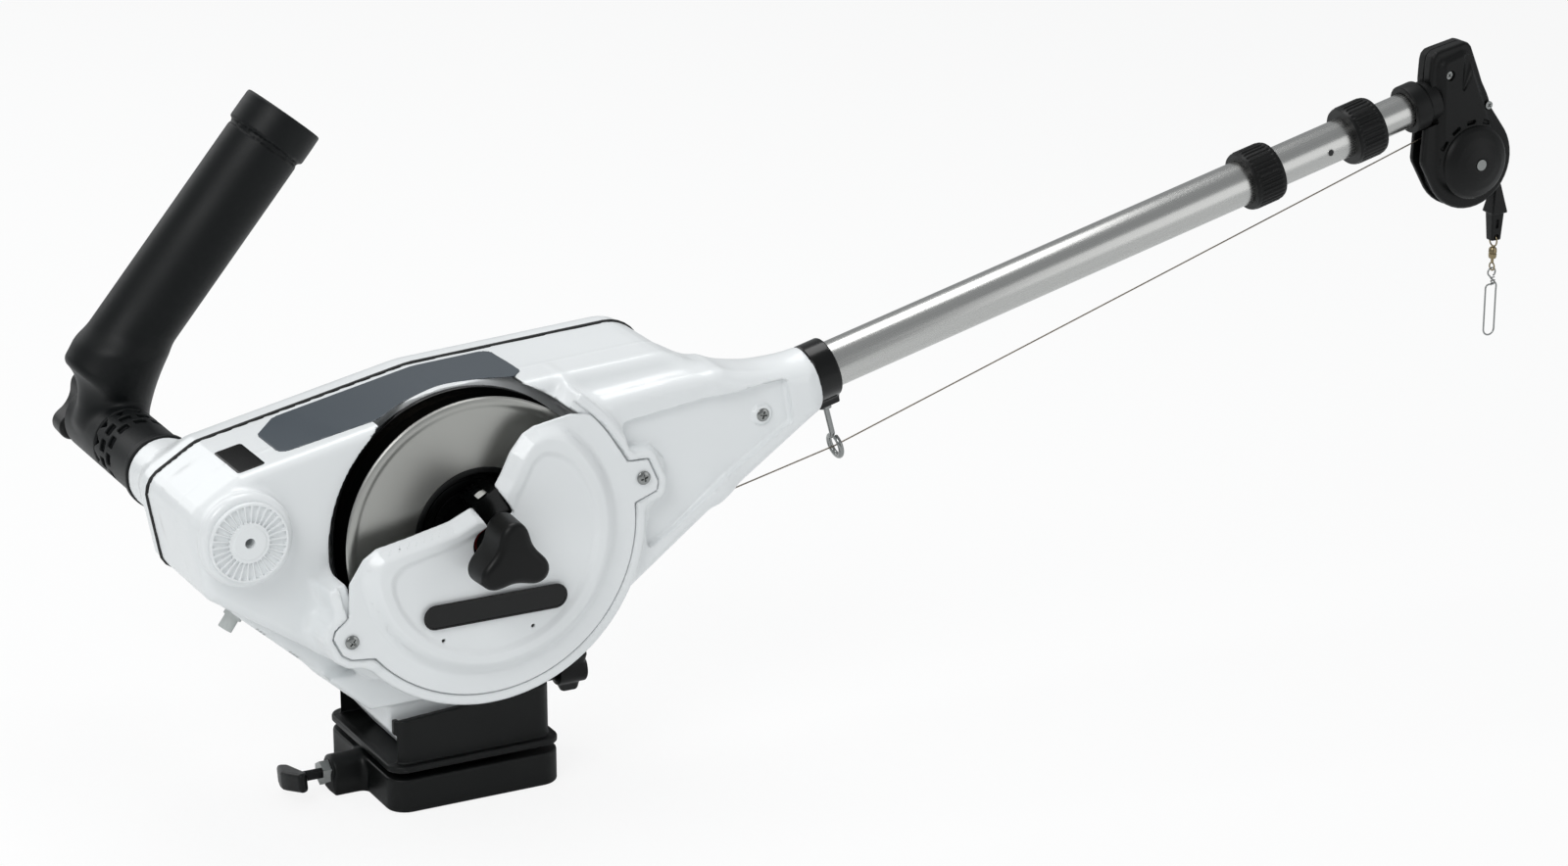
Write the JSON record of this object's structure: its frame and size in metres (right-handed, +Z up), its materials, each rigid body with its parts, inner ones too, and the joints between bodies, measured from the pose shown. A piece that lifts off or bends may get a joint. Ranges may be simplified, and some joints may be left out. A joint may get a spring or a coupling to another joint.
{
  "type": "downrigger",
  "caption": "Electric fishing downrigger: swivel base, white motor housing with cable reel and clutch, telescoping steel boom, pulley head and rod holder.",
  "frame": {"origin": "centre of the four deck bolts, on the underside of the base", "axes": "+X along the boom over the water, +Y away from the reel cover towards the rod holder, +Z up"},
  "size_m": [1.0146, 0.3569, 0.4364],
  "materials": {
    "white_paint": "gloss white powder coat",
    "base_plastic": "moulded black",
    "black_plastic": "moulded black, satin",
    "rod_plastic": "fine-textured black",
    "gloss_black": "gloss black",
    "black_rubber": "soft black",
    "pale_plastic": "pale grey",
    "white_plastic": "white",
    "label_grey": "printed film, dark grey",
    "screw_steel": "bright stainless",
    "motor_steel": "black enamel",
    "bronze": "bronze",
    "board_green": "lacquered",
    "cable_steel": "stranded stainless",
    "brushed_tube": "brushed stainless",
    "reel_steel": "radially brushed stainless",
    "gear_plastic": "natural acetal",
    "clutch_lining": "friction lining",
    "red_plastic": "red"
  },
  "bodies": {
    "base": {"lower_base": "base_plastic", "pivot_bolt": "screw_steel", "plunger_nut": "screw_steel", "plunger_spring": "screw_steel"},
    "lock": {"lock_plunger": "base_plastic"},
    "turret": {"swivel_tray": "base_plastic", "main_frame": "white_paint", "rear_cover": "white_paint", "cover_gasket": "black_rubber", "reel_cover": "white_paint", "cover_screws": "screw_steel", "nameplate": "gloss_black", "labels": "label_grey", "rod_seat": "white_paint", "power_inlet": "pale_plastic", "switch_body": "black_plastic", "gear_plate": "screw_steel", "motor": "motor_steel", "shaft_bushes": "bronze", "circuit_board": "board_green", "counter_case": "gloss_black", "boom_collar": "gloss_black", "eye_bolt": "screw_steel", "cable_lead": "cable_steel", "cable_span": "cable_steel", "outer_tube": "brushed_tube", "rod_arm": "rod_plastic"},
    "clamp": {"clamp_knob": "black_plastic"},
    "drive": {"drive_shaft": "screw_steel", "main_gear": "gear_plastic", "clutch_plate": "clutch_lining", "spring_washer": "red_plastic"},
    "idler": {"idler_gear": "gear_plastic"},
    "pinion": {"motor_pinion": "screw_steel"},
    "reel": {"reel_front_flange": "reel_steel", "reel_rear_flange": "gloss_black", "reel_core": "black_plastic", "cable_winding": "cable_steel", "reel_hub": "black_plastic"},
    "clutch": {"clutch_knob": "black_plastic"},
    "counter_units": {"counter_gear": "black_plastic"},
    "counter_tens": {"tens_wheel": "white_plastic"},
    "counter_hundreds": {"hundreds_wheel": "white_plastic"},
    "lower_collar": {"lock_collar_lower": "black_plastic"},
    "middle_boom": {"middle_tube": "brushed_tube"},
    "upper_collar": {"lock_collar_upper": "black_plastic"},
    "inner_boom": {"inner_tube": "brushed_tube", "boom_neck": "black_plastic"},
    "head": {"head_front": "black_plastic", "head_rear": "black_plastic", "head_screws": "screw_steel", "pulley_cap": "black_plastic"},
    "pulley": {"pulley": "black_plastic"},
    "terminal": {"cable_drop": "cable_steel", "line_terminal": "black_plastic"},
    "swivel": {"barrel_swivel": "bronze"},
    "snap": {"snap_hook": "screw_steel"},
    "rod_holder": {"rod_tube": "rod_plastic"},
    "rod_clamp": {"rod_knob": "black_plastic"},
    "switch": {"switch_lever": "screw_steel"}
  },
  "joints": [
    {"name": "base_yaw", "type": "hinge", "parent": "base", "child": "turret", "pos_m": [0, 0, 0.0235], "axis": [0, 0, 1], "continuous": true},
    {"name": "plunger_slide", "type": "slide", "parent": "base", "child": "lock", "axis": [1, 0, 0], "range_m": [0, 0.006], "deforming": ["plunger_spring"]},
    {"name": "clamp_turn", "type": "hinge", "parent": "turret", "child": "clamp", "pos_m": [0.056, 0, 0.054], "axis": [1, 0, 0], "range_deg": [-180, 180]},
    {"name": "drive_spin", "type": "hinge", "parent": "turret", "child": "drive", "pos_m": [0, -0.03, 0.19], "axis": [0, 1, 0], "continuous": true},
    {"name": "idler_spin", "type": "hinge", "parent": "turret", "child": "idler", "pos_m": [-0.06932, -0.016, 0.18026], "axis": [0, 1, 0], "continuous": true},
    {"name": "pinion_spin", "type": "hinge", "parent": "turret", "child": "pinion", "pos_m": [-0.1032, -0.016, 0.18902], "axis": [0, 1, 0], "continuous": true},
    {"name": "reel_spin", "type": "hinge", "parent": "turret", "child": "reel", "pos_m": [0, -0.0535, 0.19], "axis": [0, 1, 0], "continuous": true},
    {"name": "clutch_turn", "type": "hinge", "parent": "drive", "child": "clutch", "pos_m": [0, -0.105, 0.19], "axis": [0, 1, 0], "range_deg": [-180, 180]},
    {"name": "units_spin", "type": "hinge", "parent": "turret", "child": "counter_units", "pos_m": [0.00103, -0.06, 0.21348], "axis": [0, 1, 0], "continuous": true},
    {"name": "tens_spin", "type": "hinge", "parent": "turret", "child": "counter_tens", "pos_m": [0.00103, -0.06, 0.21348], "axis": [0, 1, 0], "continuous": true},
    {"name": "hundreds_spin", "type": "hinge", "parent": "turret", "child": "counter_hundreds", "pos_m": [0.00103, -0.06, 0.21348], "axis": [0, 1, 0], "continuous": true},
    {"name": "lower_collar_twist", "type": "hinge", "parent": "turret", "child": "lower_collar", "pos_m": [0, -0.0535, 0.1925], "axis": [0.9681, 0, 0.2504], "range_deg": [-30, 30]},
    {"name": "middle_slide", "type": "slide", "parent": "turret", "child": "middle_boom", "axis": [0.9681, 0, 0.2504], "range_m": [0, 0.365], "deforming": ["cable_span"]},
    {"name": "upper_collar_twist", "type": "hinge", "parent": "middle_boom", "child": "upper_collar", "pos_m": [0, -0.0535, 0.1925], "axis": [0.9681, 0, 0.2504], "range_deg": [-30, 30]},
    {"name": "inner_slide", "type": "slide", "parent": "middle_boom", "child": "inner_boom", "axis": [0.9681, 0, 0.2504], "range_m": [0, 0.365], "deforming": ["cable_span"]},
    {"name": "head_roll", "type": "hinge", "parent": "inner_boom", "child": "head", "pos_m": [0, -0.0535, 0.1925], "axis": [0.9681, 0, 0.2504], "range_deg": [-90, 90], "deforming": ["cable_span"]},
    {"name": "pulley_spin", "type": "hinge", "parent": "head", "child": "pulley", "pos_m": [0.77735, -0.0535, 0.338], "axis": [0, 1, 0], "continuous": true},
    {"name": "terminal_swing", "type": "hinge", "parent": "head", "child": "terminal", "pos_m": [0.80765, -0.0535, 0.338], "axis": [0, 1, 0], "range_deg": [-35, 3]},
    {"name": "swivel_swing", "type": "hinge", "parent": "terminal", "child": "swivel", "pos_m": [0.80765, -0.0535, 0.2726], "axis": [1, 0, 0], "range_deg": [-35, 35]},
    {"name": "snap_swing", "type": "hinge", "parent": "swivel", "child": "snap", "pos_m": [0.80765, -0.0535, 0.2487], "axis": [0, 1, 0], "range_deg": [-35, 35]},
    {"name": "rod_holder_tilt", "type": "hinge", "parent": "turret", "child": "rod_holder", "pos_m": [-0.164, 0.17, 0.216], "axis": [0, 1, 0], "range_deg": [-90, 90]},
    {"name": "rod_knob_turn", "type": "hinge", "parent": "turret", "child": "rod_clamp", "pos_m": [-0.164, 0.21, 0.216], "axis": [0, 1, 0], "range_deg": [-180, 180]},
    {"name": "switch_toggle", "type": "hinge", "parent": "turret", "child": "switch", "pos_m": [-0.048, 0.0591, 0.232], "axis": [1, 0, 0], "range_deg": [-12, 12]}
  ],
  "couplings": [
    {"joint": "idler_spin", "follows": "drive_spin", "ratio": -1.8},
    {"joint": "pinion_spin", "follows": "drive_spin", "ratio": 4.5},
    {"joint": "units_spin", "follows": "reel_spin", "ratio": -1.7647},
    {"joint": "tens_spin", "follows": "reel_spin", "ratio": -0.17647},
    {"joint": "hundreds_spin", "follows": "reel_spin", "ratio": -0.017647}
  ]
}
